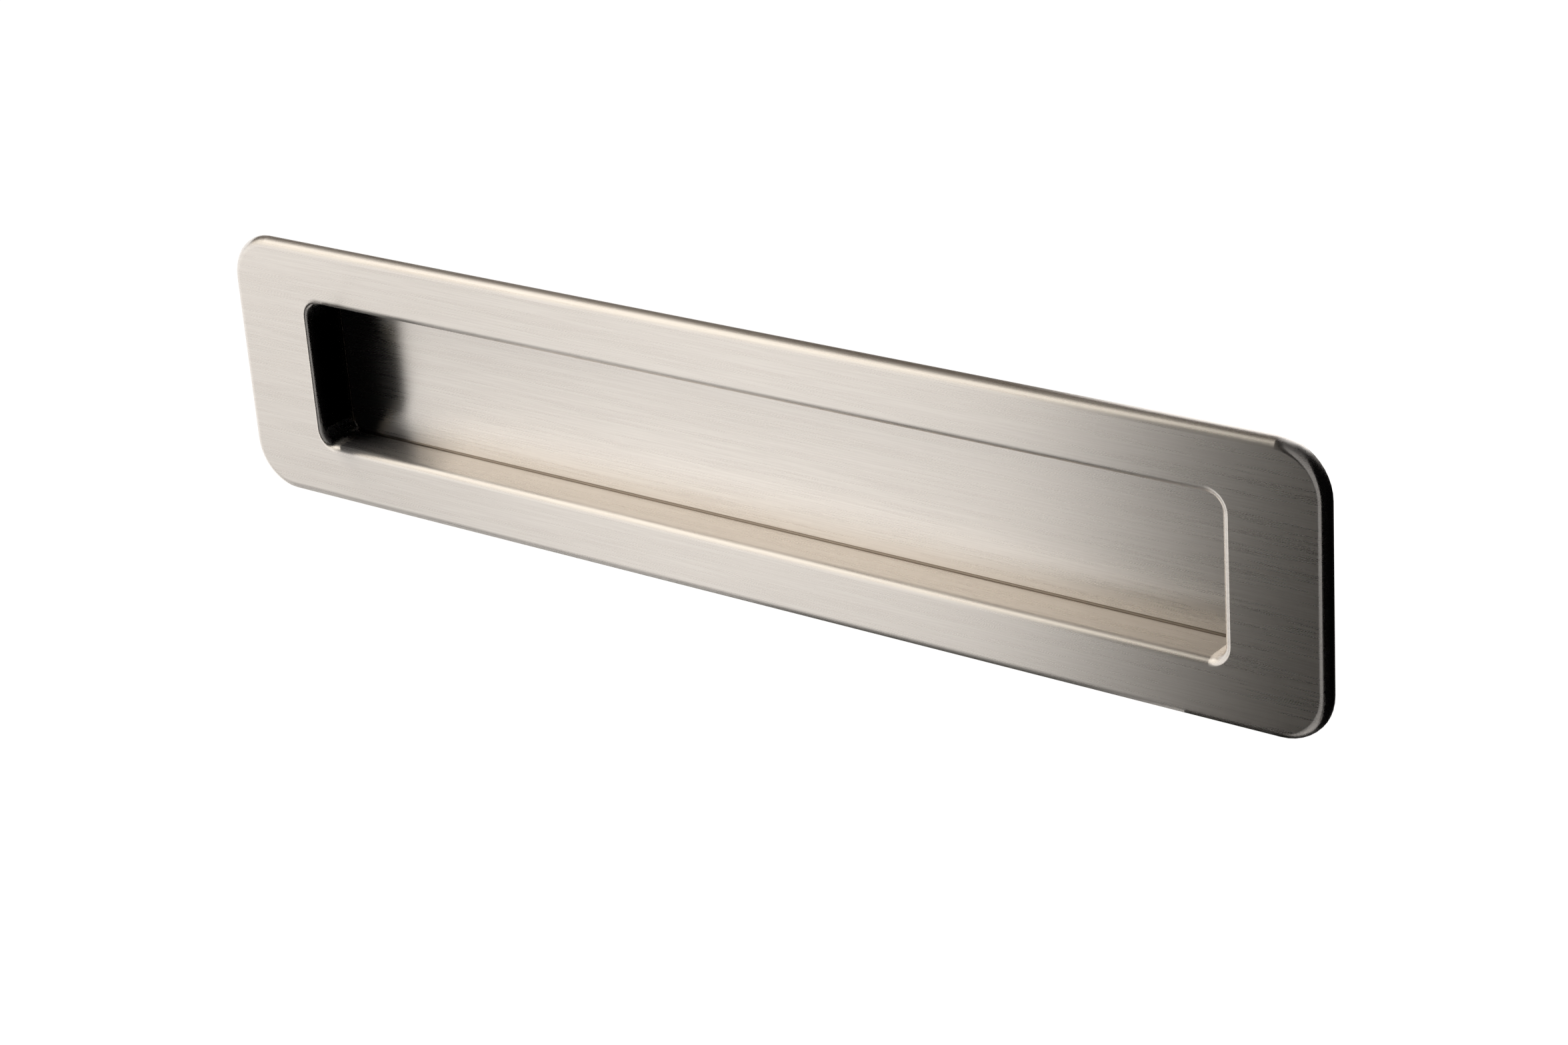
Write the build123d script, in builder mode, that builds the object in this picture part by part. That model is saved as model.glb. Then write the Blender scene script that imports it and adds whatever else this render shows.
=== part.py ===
from build123d import *

import os
from math import cos, radians, tan

# Recessed handle: a one-piece zinc die casting, brushed and nickel plated.
# Frame, in millimetres: X along the handle, Y into the door, Z up. The origin is the centre of the
# flange's back, the plane that lies on the door, so the visible face is at Y = -flange_thickness.

os.makedirs("parts", exist_ok=True)

# Flange: the visible frame, sized from the standard distance between the two fixing screws
screw_pitch = 192.0
screw_inset = 7.0
flange_height = 44.5
flange_thickness = 2.0
flange_corner_r = 8.0
face_round = 1.5
edge_break = 0.25

# Finger recess: the borders are the flat of the face that is left around its rounded lip
end_border = 15.3
long_border = 8.75
opening_corner_r = 3.7
lip_round = 1.2
recess_depth = 7.2
floor_fillet = 0.25
draft = 1.0

# Cup behind the flange, and the two tapped bosses that the screws pull on
cup_wall = 1.5
floor_thickness = 1.6
cup_back_round = 1.5
root_fillet = 0.6
boss_d = 7.0
boss_length = 5.0
web_thickness = 3.0
web_setback = 1.2
tap_drill_d = 3.3
tap_lead_d = 4.2
tap_skin = 1.4

# How far off its depth a flat face may lie and still be found
level_tolerance = 0.01

# Derived sizes
slope = tan(radians(draft))
flange_length = screw_pitch + 2 * screw_inset
face_y = -flange_thickness
lip_run = lip_round / tan(radians(45 + draft / 2))
mouth_length = flange_length - 2 * (end_border + lip_run)
mouth_height = flange_height - 2 * (long_border + lip_run)
mouth_corner_r = opening_corner_r - lip_run
floor_y = face_y + recess_depth
cup_depth = floor_y + floor_thickness
cup_grow = cup_wall / cos(radians(draft)) - flange_thickness * slope
cup_length = mouth_length + 2 * cup_grow
cup_height = mouth_height + 2 * cup_grow
web_length = (screw_pitch - cup_length + cup_wall) / 2
web_x = (screw_pitch - web_length) / 2

seat = -Plane.XZ
face = seat.offset(face_y)
boss_end = seat.offset(boss_length)


def level_face(builder, y):
    """The largest face of the part that lies flat at depth y."""
    flat = builder.faces().filter_by(Plane.XZ)
    return flat.filter_by_position(Axis.Y, y - level_tolerance, y + level_tolerance).sort_by(SortBy.AREA)[-1]


with BuildPart() as handle_body:
    # Flange, from the door's surface out to the face
    with BuildSketch(face):
        RectangleRounded(flange_length, flange_height, flange_corner_r)
    extrude(amount=flange_thickness)

    # Cup, with the same draft as the recess so that its wall keeps one thickness
    with BuildSketch(seat):
        RectangleRounded(cup_length, cup_height, mouth_corner_r + cup_grow)
    extrude(amount=cup_depth, taper=draft)

    # Bosses behind the wide end borders, each tied to the cup by a web
    with BuildSketch(seat):
        with GridLocations(screw_pitch, 1, 2, 1):
            Circle(boss_d / 2 + boss_length * slope)
    extrude(amount=boss_length, taper=draft)
    with BuildSketch(seat):
        with GridLocations(2 * web_x, 1, 2, 1):
            Rectangle(web_length, web_thickness + 2 * boss_length * slope)
    extrude(amount=boss_length - web_setback, taper=draft)

    # Finger recess, cut from the face
    with BuildSketch(face):
        RectangleRounded(mouth_length, mouth_height, mouth_corner_r)
    extrude(amount=recess_depth, taper=draft, mode=Mode.SUBTRACT)

    # Rounds of the casting: cup's back, recess floor, roots on the flange, lip, edge of the face
    fillet(level_face(handle_body, cup_depth).outer_wire().edges(), radius=cup_back_round)
    fillet(level_face(handle_body, floor_y).outer_wire().edges(), radius=floor_fillet)
    fillet(level_face(handle_body, 0).inner_wires().edges(), radius=root_fillet)
    fillet(level_face(handle_body, face_y).inner_wires().edges(), radius=lip_round)
    fillet(level_face(handle_body, face_y).outer_wire().edges(), radius=face_round)
    chamfer(level_face(handle_body, 0).outer_wire().edges(), length=edge_break)

    # Tapped holes, drilled from the boss ends and stopped short of the face
    with Locations(boss_end):
        with GridLocations(screw_pitch, 1, 2, 1):
            CounterSinkHole(
                radius=tap_drill_d / 2,
                counter_sink_radius=tap_lead_d / 2,
                depth=boss_length + flange_thickness - tap_skin,
            )

handle_body.part.label = "handle_body"
export_step(handle_body.part, "parts/handle_body.step")
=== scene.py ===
from math import cos, pi, radians, sin

import bmesh
import bpy
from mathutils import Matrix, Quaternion, Vector


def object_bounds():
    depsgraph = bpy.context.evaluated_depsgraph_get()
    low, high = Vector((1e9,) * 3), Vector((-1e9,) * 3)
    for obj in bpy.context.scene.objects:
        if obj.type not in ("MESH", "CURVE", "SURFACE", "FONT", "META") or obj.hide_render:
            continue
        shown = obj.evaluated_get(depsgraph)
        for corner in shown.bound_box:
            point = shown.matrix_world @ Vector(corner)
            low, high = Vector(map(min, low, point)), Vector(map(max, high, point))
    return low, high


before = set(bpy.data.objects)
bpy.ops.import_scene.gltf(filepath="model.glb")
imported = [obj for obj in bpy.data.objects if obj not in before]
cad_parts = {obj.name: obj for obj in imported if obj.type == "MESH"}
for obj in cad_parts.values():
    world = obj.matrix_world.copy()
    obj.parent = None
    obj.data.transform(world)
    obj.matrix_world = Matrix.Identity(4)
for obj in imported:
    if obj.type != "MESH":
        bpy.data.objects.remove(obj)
cad_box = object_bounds()

# Handle body
# One zinc die casting: flange, finger recess, cup and two tapped bosses, which screws through the door
# hold from behind. The face and the recess are brushed along the length and nickel plated. Behind the
# flange the plate lies on the cast skin.
MM = 0.001
NICKEL_LOW = "#E6DFD9"
NICKEL_HIGH = "#F0EAE4"
# A darker tone painted along the foot of the recess's walls, as shade in their inner corner
FOOT_SHADE_NICKEL = "#998D81"
CAST_NICKEL = "#C9C3BC"

# Real brush strokes are about 0.05 mm wide, finer than a pixel of the picture, so they are drawn coarser.
STROKE_MM = 0.25
STROKE_RUN_MM = 16.0
BAND_MM = 1.4
BAND_RUN_MM = 40.0
BAND_SHARE = 0.35
STROKE_DEPTH_MM = 0.0003
ROUGH_LOW = 0.27
ROUGH_HIGH = 0.29

# The range that the strokes' noise mostly keeps to, which is spread over the two tones
NOISE_LOW = 0.4
NOISE_HIGH = 0.6

# The strokes run along X, and into the recess on its end walls. A quarter of a turn draws the highlights
# out across them.
STROKE_WAY = (1.0, 0.005, 0.0)
QUARTER_TURN = 0.25

# The cast skin lies outside a box whose sides run inside the cup's wall and floor, given by its half
# sizes. EDGE_MM is how far the skin reaches from the flange's back onto the flange's edge.
CUP_HALF_MM = (87.2, 6.0, 12.9)
EDGE_MM = 0.1
CAST_ROUGH = 0.4
GRAIN_MM = 0.5

# Where the painted shade along the foot of the recess's walls starts, as half sizes too
FOOT_HALF_MM = (86.05, 4.85, 11.85)


def linear(colour):
    """An sRGB hex colour as linear red, green, blue and alpha."""
    parts = [int(colour[i:i + 2], 16) / 255 for i in (1, 3, 5)]
    return [c / 12.92 if c <= 0.04045 else ((c + 0.055) / 1.055) ** 2.4 for c in parts] + [1.0]


def add_node(tree, kind, inputs=None, **settings):
    """Add a node; an input is given a value, or the output of another node that it is linked to."""
    node = tree.nodes.new("ShaderNode" + kind)
    for name, value in settings.items():
        setattr(node, name, value)
    for socket, value in (inputs or {}).items():
        if isinstance(value, bpy.types.NodeSocket):
            tree.links.new(value, node.inputs[socket])
        else:
            node.inputs[socket].default_value = value
    return node


def new_material(name):
    """An empty material and its node tree."""
    material = bpy.data.materials.new(name)
    material.use_nodes = True
    material.node_tree.nodes.clear()
    return material, material.node_tree


# Brushed nickel: a warm pale metal with fine streaks along its length, which draws each highlight out
# across the streaks. A darker line along the foot of the recess's walls is painted shade in their inner
# corner. On the cast skin it is duller, a shade darker and grained alike in all directions.
brushed_nickel, tree = new_material("brushed_nickel")
place = add_node(tree, "TexCoord").outputs["Object"]

stroke_map = add_node(tree, "Mapping", {
    "Vector": place,
    "Scale": (1 / (STROKE_RUN_MM * MM), 1 / (STROKE_MM * MM), 1 / (STROKE_MM * MM)),
})
fine_strokes = add_node(tree, "TexNoise", {
    "Vector": stroke_map.outputs["Vector"], "Scale": 1.0, "Detail": 2.0, "Roughness": 0.5,
})
band_map = add_node(tree, "Mapping", {
    "Vector": place,
    "Scale": (1 / (BAND_RUN_MM * MM), 1 / (BAND_MM * MM), 1 / (BAND_MM * MM)),
})
bands = add_node(tree, "TexNoise", {
    "Vector": band_map.outputs["Vector"], "Scale": 1.0, "Detail": 2.0, "Roughness": 0.5,
})
strokes = add_node(tree, "Mix", {
    "Factor": BAND_SHARE, "A": fine_strokes.outputs["Fac"], "B": bands.outputs["Fac"],
}, data_type="FLOAT")
stroke_share = add_node(tree, "MapRange", {
    "Value": strokes.outputs["Result"], "From Min": NOISE_LOW, "From Max": NOISE_HIGH,
})
grain = add_node(tree, "TexNoise", {
    "Vector": place, "Scale": 1 / (GRAIN_MM * MM), "Detail": 2.0, "Roughness": 0.6,
})

# 1 on the cast skin, which is what lies behind the flange's face and outside the recess
depth = add_node(tree, "SeparateXYZ", {"Vector": place}).outputs["Y"]
reach = add_node(tree, "VectorMath", {0: place}, operation="ABSOLUTE")
past_cup = add_node(tree, "VectorMath", {
    0: reach.outputs["Vector"], 1: [half * MM for half in CUP_HALF_MM],
}, operation="SUBTRACT")
cup = add_node(tree, "SeparateXYZ", {"Vector": past_cup.outputs["Vector"]})
cup_side = add_node(tree, "Math", {0: cup.outputs["X"], 1: cup.outputs["Z"]}, operation="MAXIMUM")
cup_wall = add_node(tree, "Math", {0: cup_side.outputs[0], 1: cup.outputs["Y"]}, operation="MAXIMUM")
behind = add_node(tree, "Math", {0: cup_wall.outputs[0], 1: depth}, operation="MINIMUM")
on_skin = add_node(tree, "Math", {0: behind.outputs[0], 1: -EDGE_MM * MM}, operation="GREATER_THAN")
cast_skin = on_skin.outputs[0]

# 1 along the foot of the recess's walls, where shade is painted into the inner corner
past_foot = add_node(tree, "VectorMath", {
    0: reach.outputs["Vector"], 1: [half * MM for half in FOOT_HALF_MM],
}, operation="SUBTRACT")
foot = add_node(tree, "SeparateXYZ", {"Vector": past_foot.outputs["Vector"]})
foot_side = add_node(tree, "Math", {0: foot.outputs["X"], 1: foot.outputs["Z"]}, operation="MAXIMUM")
foot_line = add_node(tree, "Math", {0: foot_side.outputs[0], 1: foot.outputs["Y"]}, operation="MINIMUM")
in_foot_shade = add_node(tree, "Math", {0: foot_line.outputs[0], 1: 0.0}, operation="GREATER_THAN")

brushed_rough = add_node(tree, "MapRange", {
    "Value": stroke_share.outputs["Result"], "To Min": ROUGH_LOW, "To Max": ROUGH_HIGH,
})
roughness = add_node(tree, "Mix", {
    "Factor": cast_skin, "A": brushed_rough.outputs["Result"], "B": CAST_ROUGH,
}, data_type="FLOAT")
height = add_node(tree, "Mix", {
    "Factor": cast_skin, "A": strokes.outputs["Result"], "B": grain.outputs["Fac"],
}, data_type="FLOAT")
bump = add_node(tree, "Bump", {
    "Height": height.outputs["Result"], "Strength": 1.0, "Distance": STROKE_DEPTH_MM * MM,
})

# The skin's grain turns every way
any_way = add_node(tree, "VectorMath", {
    0: grain.outputs["Color"], 1: (0.5, 0.5, 0.5),
}, operation="SUBTRACT")
stroke_way = add_node(tree, "Mix", {
    "Factor": cast_skin, 4: STROKE_WAY, 5: any_way.outputs["Vector"],
}, data_type="VECTOR")

stroke_tone = add_node(tree, "Mix", {
    "Factor": stroke_share.outputs["Result"], 6: linear(NICKEL_LOW), 7: linear(NICKEL_HIGH),
}, data_type="RGBA")
# Painted shade: the darker tone along the foot of the recess's walls
face_tone = add_node(tree, "Mix", {
    "Factor": in_foot_shade.outputs[0], 6: stroke_tone.outputs[2], 7: linear(FOOT_SHADE_NICKEL),
}, data_type="RGBA")
tone = add_node(tree, "Mix", {
    "Factor": cast_skin, 6: face_tone.outputs[2], 7: linear(CAST_NICKEL),
}, data_type="RGBA")
nickel = add_node(tree, "BsdfPrincipled", {
    "Base Color": tone.outputs[2],
    "Metallic": 1.0,
    "Roughness": roughness.outputs["Result"],
    "Anisotropic": 1.0,
    "Anisotropic Rotation": QUARTER_TURN,
    "Tangent": stroke_way.outputs[1],
    "Normal": bump.outputs["Normal"],
})
add_node(tree, "OutputMaterial", {"Surface": nickel.outputs["BSDF"]})

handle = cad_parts["handle_body"]
handle.data.materials.clear()
handle.data.materials.append(brushed_nickel)

# Floor
# A plain floor in a pale matt paint. It lies far enough below the handle that no shadow comes into the
# picture.
FLOOR_DROP_M = 0.9
FLOOR_HALF_M = 6.0
FLOOR_COLOUR = "#F7F6F4"


def stage_object(name, bm, material):
    """A bmesh as an object of the stage, which isn't part of the handle."""
    mesh = bpy.data.meshes.new(name)
    bm.to_mesh(mesh)
    bm.free()
    mesh.materials.append(material)
    made = bpy.data.objects.new(name, mesh)
    bpy.context.scene.collection.objects.link(made)
    return made


floor_paint, tree = new_material("floor_paint")
paint = add_node(tree, "BsdfDiffuse", {"Color": linear(FLOOR_COLOUR)})
add_node(tree, "OutputMaterial", {"Surface": paint.outputs["BSDF"]})

bm = bmesh.new()
bmesh.ops.create_grid(bm, x_segments=1, y_segments=1, size=FLOOR_HALF_M)
bmesh.ops.translate(bm, verts=bm.verts, vec=(0, 0, -FLOOR_DROP_M))
stage_object("floor", bm, floor_paint)

# Cards
# Backdrop cards a metre from the handle, which show in the metal and nowhere else. They leave the
# white studio open on the left, so the face runs from pale on the left to dark on the right.
CARD_FAR_M = 1.0
CARD_STEPS = 12
CARD_COLOURS = {
    "black_card": "#0A0A0A",
    "dark_card": "#808080",
    "grey_card": "#848484",
    "brown_card": "#40352B",
    "cream_card": "#F0EADD",
}

# Edges that cards share, in degrees of azimuth from the handle's front towards its right
OPEN_LEFT = -80
OPEN_RIGHT = -29
EDGE_RIGHT = -13
FRONT_RIGHT = 15
WALL_RIGHT = 75
BACK_RIGHT = 165
ALL_ROUND = (-180, 180)

# The same in degrees of elevation: the opening, the grey cards on its right, the black cards round them,
# and the black roof and poles
OPEN_LOW = -37
OPEN_HIGH = 52
FILL_LOW = -45
FILL_HIGH = 35
CARD_LOW = -70
CARD_HIGH = 60
ROOF_HIGH = 80
POLE = 89

# Name, colour, from and to azimuth, from and to elevation
CARDS = (
    ("edge_card", "black_card", (OPEN_RIGHT, EDGE_RIGHT), (CARD_LOW, CARD_HIGH)),
    ("front_card", "grey_card", (EDGE_RIGHT, FRONT_RIGHT), (FILL_LOW, FILL_HIGH)),
    ("wall_card", "dark_card", (FRONT_RIGHT, WALL_RIGHT), (FILL_LOW, FILL_HIGH)),
    ("under_card", "black_card", (EDGE_RIGHT, BACK_RIGHT), (CARD_LOW, FILL_LOW)),
    ("over_card", "black_card", (EDGE_RIGHT, BACK_RIGHT), (FILL_HIGH, CARD_HIGH)),
    ("right_card", "grey_card", (WALL_RIGHT, BACK_RIGHT), (FILL_LOW, FILL_HIGH)),
    ("foot_card", "black_card", (BACK_RIGHT, 260), (CARD_LOW, -35)),
    ("gap_card", "black_card", (-100, OPEN_LEFT), (CARD_LOW, -55)),
    ("low_card", "black_card", (OPEN_LEFT, OPEN_RIGHT), (CARD_LOW, OPEN_LOW)),
    ("low_left_card", "grey_card", (OPEN_LEFT, -50), (OPEN_LOW, -25)),
    ("high_card", "cream_card", (OPEN_LEFT, OPEN_RIGHT), (10, OPEN_HIGH)),
    ("top_card", "black_card", (OPEN_LEFT, OPEN_RIGHT), (OPEN_HIGH, ROOF_HIGH)),
    ("roof_card", "black_card", (OPEN_RIGHT, BACK_RIGHT), (CARD_HIGH, ROOF_HIGH)),
    ("back_card", "brown_card", (-150, OPEN_LEFT), (15, 75)),
    ("zenith_card", "black_card", ALL_ROUND, (ROOF_HIGH, POLE)),
    ("nadir_card", "black_card", ALL_ROUND, (-POLE, CARD_LOW)),
)

# A ray is 1 deep after one surface and 2 deep after two
SEEN_TWICE_DEPTH = 1.5


def towards(azimuth, elevation):
    """The direction from the handle at an azimuth and an elevation in degrees."""
    az = radians(azimuth)
    el = radians(elevation)
    return Vector((sin(az) * cos(el), -cos(az) * cos(el), sin(el)))


def only_in_metal(card):
    """Hide a card from all but reflections."""
    card.visible_camera = False
    card.visible_diffuse = False
    card.visible_shadow = False


card_paints = {}
for name, colour in CARD_COLOURS.items():
    card_paints[name], tree = new_material(name)
    paint = add_node(tree, "BsdfDiffuse", {"Color": linear(colour)})
    add_node(tree, "OutputMaterial", {"Surface": paint.outputs["BSDF"]})

# The dark card turns black where it is seen over two surfaces, so the recess's corners stay dark
tree = card_paints["dark_card"].node_tree
bounces = add_node(tree, "LightPath").outputs["Ray Depth"]
seen_twice = add_node(tree, "Math", {0: bounces, 1: SEEN_TWICE_DEPTH}, operation="GREATER_THAN")
shade = add_node(tree, "Mix", {
    "Factor": seen_twice.outputs[0],
    6: linear(CARD_COLOURS["dark_card"]),
    7: linear(CARD_COLOURS["black_card"]),
}, data_type="RGBA")
tree.links.new(shade.outputs[2], tree.nodes["Diffuse BSDF"].inputs["Color"])

for name, colour, (az_from, az_to), (el_from, el_to) in CARDS:
    bm = bmesh.new()
    rise = (el_to - el_from) / CARD_STEPS
    heights = [el_from + rise * i for i in range(CARD_STEPS + 1)]
    rim = [bm.verts.new(towards(az_from, elevation) * CARD_FAR_M) for elevation in heights]
    edges = [bm.edges.new(pair) for pair in zip(rim, rim[1:])]
    bmesh.ops.spin(
        bm, geom=rim + edges, cent=(0, 0, 0), axis=(0, 0, 1),
        angle=radians(az_to - az_from), steps=2 * CARD_STEPS, use_merge=False,
    )
    only_in_metal(stage_object(name, bm, card_paints[colour]))

# Flags
# Small black cloths on end at the handle, which show in the metal alone. One closes the recess's left
# end, and one carries it on past the face to widen its shade on the floor, and is clear from the left.
# Two darken the right edge: one beside it, and one under the lower corner.
WALL_FLAG_X_MM = -86.1
WALL_FLAG_HALF_MM = 12.1
WALL_FLAG_CORNER_MM = 2.4
SHADE_FLAG_LOW_MM = -12.5
SHADE_FLAG_HIGH_MM = 9.5
EDGE_FLAG_GAP_MM = 0.3
EDGE_FLAG_PAST_MM = 4.0
CORNER_FLAG_RUN_MM = 24.0

# How far a flag reaches in behind the face, and out before it
WALL_FLAG_IN_MM = 7.15
WALL_FLAG_OUT_MM = 2.0
SHADE_FLAG_OUT_MM = 6.5
EDGE_FLAG_IN_MM = 5.0
EDGE_FLAG_OUT_MM = 6.0
CORNER_FLAG_OUT_MM = 0.3

flag_cloth, tree = new_material("flag_cloth")
cloth = add_node(tree, "BsdfDiffuse", {"Color": linear(CARD_COLOURS["black_card"])})
add_node(tree, "OutputMaterial", {"Surface": cloth.outputs["BSDF"]})

one_way_cloth, tree = new_material("one_way_cloth")
cloth = add_node(tree, "BsdfDiffuse", {"Color": linear(CARD_COLOURS["black_card"])})
clear = add_node(tree, "BsdfTransparent")
from_left = add_node(tree, "NewGeometry").outputs["Backfacing"]
one_side = add_node(tree, "MixShader", {
    0: from_left, 1: cloth.outputs["BSDF"], 2: clear.outputs["BSDF"],
})
add_node(tree, "OutputMaterial", {"Surface": one_side.outputs["Shader"]})


def flag(name, material, outline, y_range):
    """A cloth that stands on an outline of x and z, from one depth to another."""
    bm = bmesh.new()
    corners = [bm.verts.new((x, y_range[0], z)) for x, z in outline]
    edges = [bm.edges.new(pair) for pair in zip(corners, corners[1:])]
    sides = bmesh.ops.extrude_edge_only(bm, edges=edges)["geom"]
    far = [part for part in sides if isinstance(part, bmesh.types.BMVert)]
    bmesh.ops.translate(bm, verts=far, vec=(0, y_range[1] - y_range[0], 0))
    only_in_metal(stage_object(name, bm, material))


face_y = cad_box[0].y
left_end = WALL_FLAG_X_MM * MM
half = WALL_FLAG_HALF_MM * MM
corner = WALL_FLAG_CORNER_MM * MM
wall_in = face_y + WALL_FLAG_IN_MM * MM
wall_out = face_y - WALL_FLAG_OUT_MM * MM
wall_outline = (
    (left_end + corner, -half),
    (left_end, corner - half),
    (left_end, half - corner),
    (left_end + corner, half),
)
flag("wall_flag", flag_cloth, wall_outline, (wall_in, wall_out))

# From high to low, so that the cloth's dark side looks into the recess
shade_out = face_y - SHADE_FLAG_OUT_MM * MM
shade_outline = ((left_end, SHADE_FLAG_HIGH_MM * MM), (left_end, SHADE_FLAG_LOW_MM * MM))
flag("shade_flag", one_way_cloth, shade_outline, (wall_out, shade_out))

right_edge = cad_box[1].x + EDGE_FLAG_GAP_MM * MM
above = cad_box[1].z + EDGE_FLAG_PAST_MM * MM
below = cad_box[0].z - EDGE_FLAG_GAP_MM * MM
edge_in = face_y + EDGE_FLAG_IN_MM * MM
edge_out = face_y - EDGE_FLAG_OUT_MM * MM
flag("edge_flag", flag_cloth, ((right_edge, above), (right_edge, below)), (edge_in, edge_out))

under_corner = right_edge - CORNER_FLAG_RUN_MM * MM
corner_out = face_y - CORNER_FLAG_OUT_MM * MM
flag("corner_flag", flag_cloth, ((right_edge, below), (under_corner, below)), (edge_in, corner_out))

# Softboxes
# One high on the left, which draws the bright line on the bottom lip and along the top edge, and one
# behind, which lights the cast back.
LAMP_FAR_M = 0.9


def softbox(name, radiance, azimuth, elevation, width, height):
    """An area lamp that faces the handle."""
    lamp = bpy.data.lights.new(name, "AREA")
    lamp.shape = "RECTANGLE"
    lamp.size = width
    lamp.size_y = height
    lamp.energy = radiance * pi * width * height
    made = bpy.data.objects.new(name, lamp)
    made.location = towards(azimuth, elevation) * LAMP_FAR_M
    made.rotation_euler = (-made.location).to_track_quat("-Z", "Y").to_euler()
    made.visible_camera = False
    bpy.context.scene.collection.objects.link(made)


softbox("left_softbox", radiance=0.6, azimuth=-58, elevation=39, width=0.7, height=0.35)
softbox("back_softbox", radiance=2.0, azimuth=188, elevation=32, width=0.7, height=0.4)

# White studio
# An even white all round: 1 where the camera, metal or glass sees it, and a little more on the floor
# and the cards, so that the floor comes out white too.
FLOOR_LIGHT = 1.15

world = bpy.data.worlds.new("white_studio")
bpy.context.scene.world = world
world.use_nodes = True
tree = world.node_tree
tree.nodes.clear()
ray = add_node(tree, "LightPath")
camera_or_glossy = add_node(tree, "Math", {
    0: ray.outputs["Is Camera Ray"], 1: ray.outputs["Is Glossy Ray"],
}, operation="MAXIMUM")
seen = add_node(tree, "Math", {
    0: camera_or_glossy.outputs[0], 1: ray.outputs["Is Transmission Ray"],
}, operation="MAXIMUM")
level = add_node(tree, "Mix", {"Factor": seen.outputs[0], "A": FLOOR_LIGHT, "B": 1.0}, data_type="FLOAT")
sky = add_node(tree, "Background", {"Color": (1, 1, 1, 1), "Strength": level.outputs["Result"]})
add_node(tree, "OutputWorld", {"Surface": sky.outputs["Background"]})

# Camera
# The photograph's view, fitted to the handle's edges: from the right and above, turned a little about
# its own axis.
VIEW_AZIMUTH = 39.25
VIEW_ELEVATION = 22.75
VIEW_ROLL = -4.26
VIEW_DISTANCE_M = 0.52945
VIEW_AIM = Vector((0.01057, cad_box[0].y, -0.00685))
LENS_MM = 81.38
SENSOR_MM = 36.0

camera = bpy.data.cameras.new("camera")
camera.sensor_width = SENSOR_MM
camera.lens = LENS_MM
camera.clip_start = 0.01
camera.clip_end = 50.0
camera_object = bpy.data.objects.new("camera", camera)
away = towards(VIEW_AZIMUTH, VIEW_ELEVATION)
camera_object.location = VIEW_AIM + away * VIEW_DISTANCE_M
camera_object.rotation_mode = "QUATERNION"
camera_object.rotation_quaternion = (
    (-away).to_track_quat("-Z", "Y") @ Quaternion((0, 0, 1), radians(VIEW_ROLL))
)
bpy.context.scene.collection.objects.link(camera_object)
bpy.context.scene.camera = camera_object
bpy.context.scene.view_settings.view_transform = "Standard"
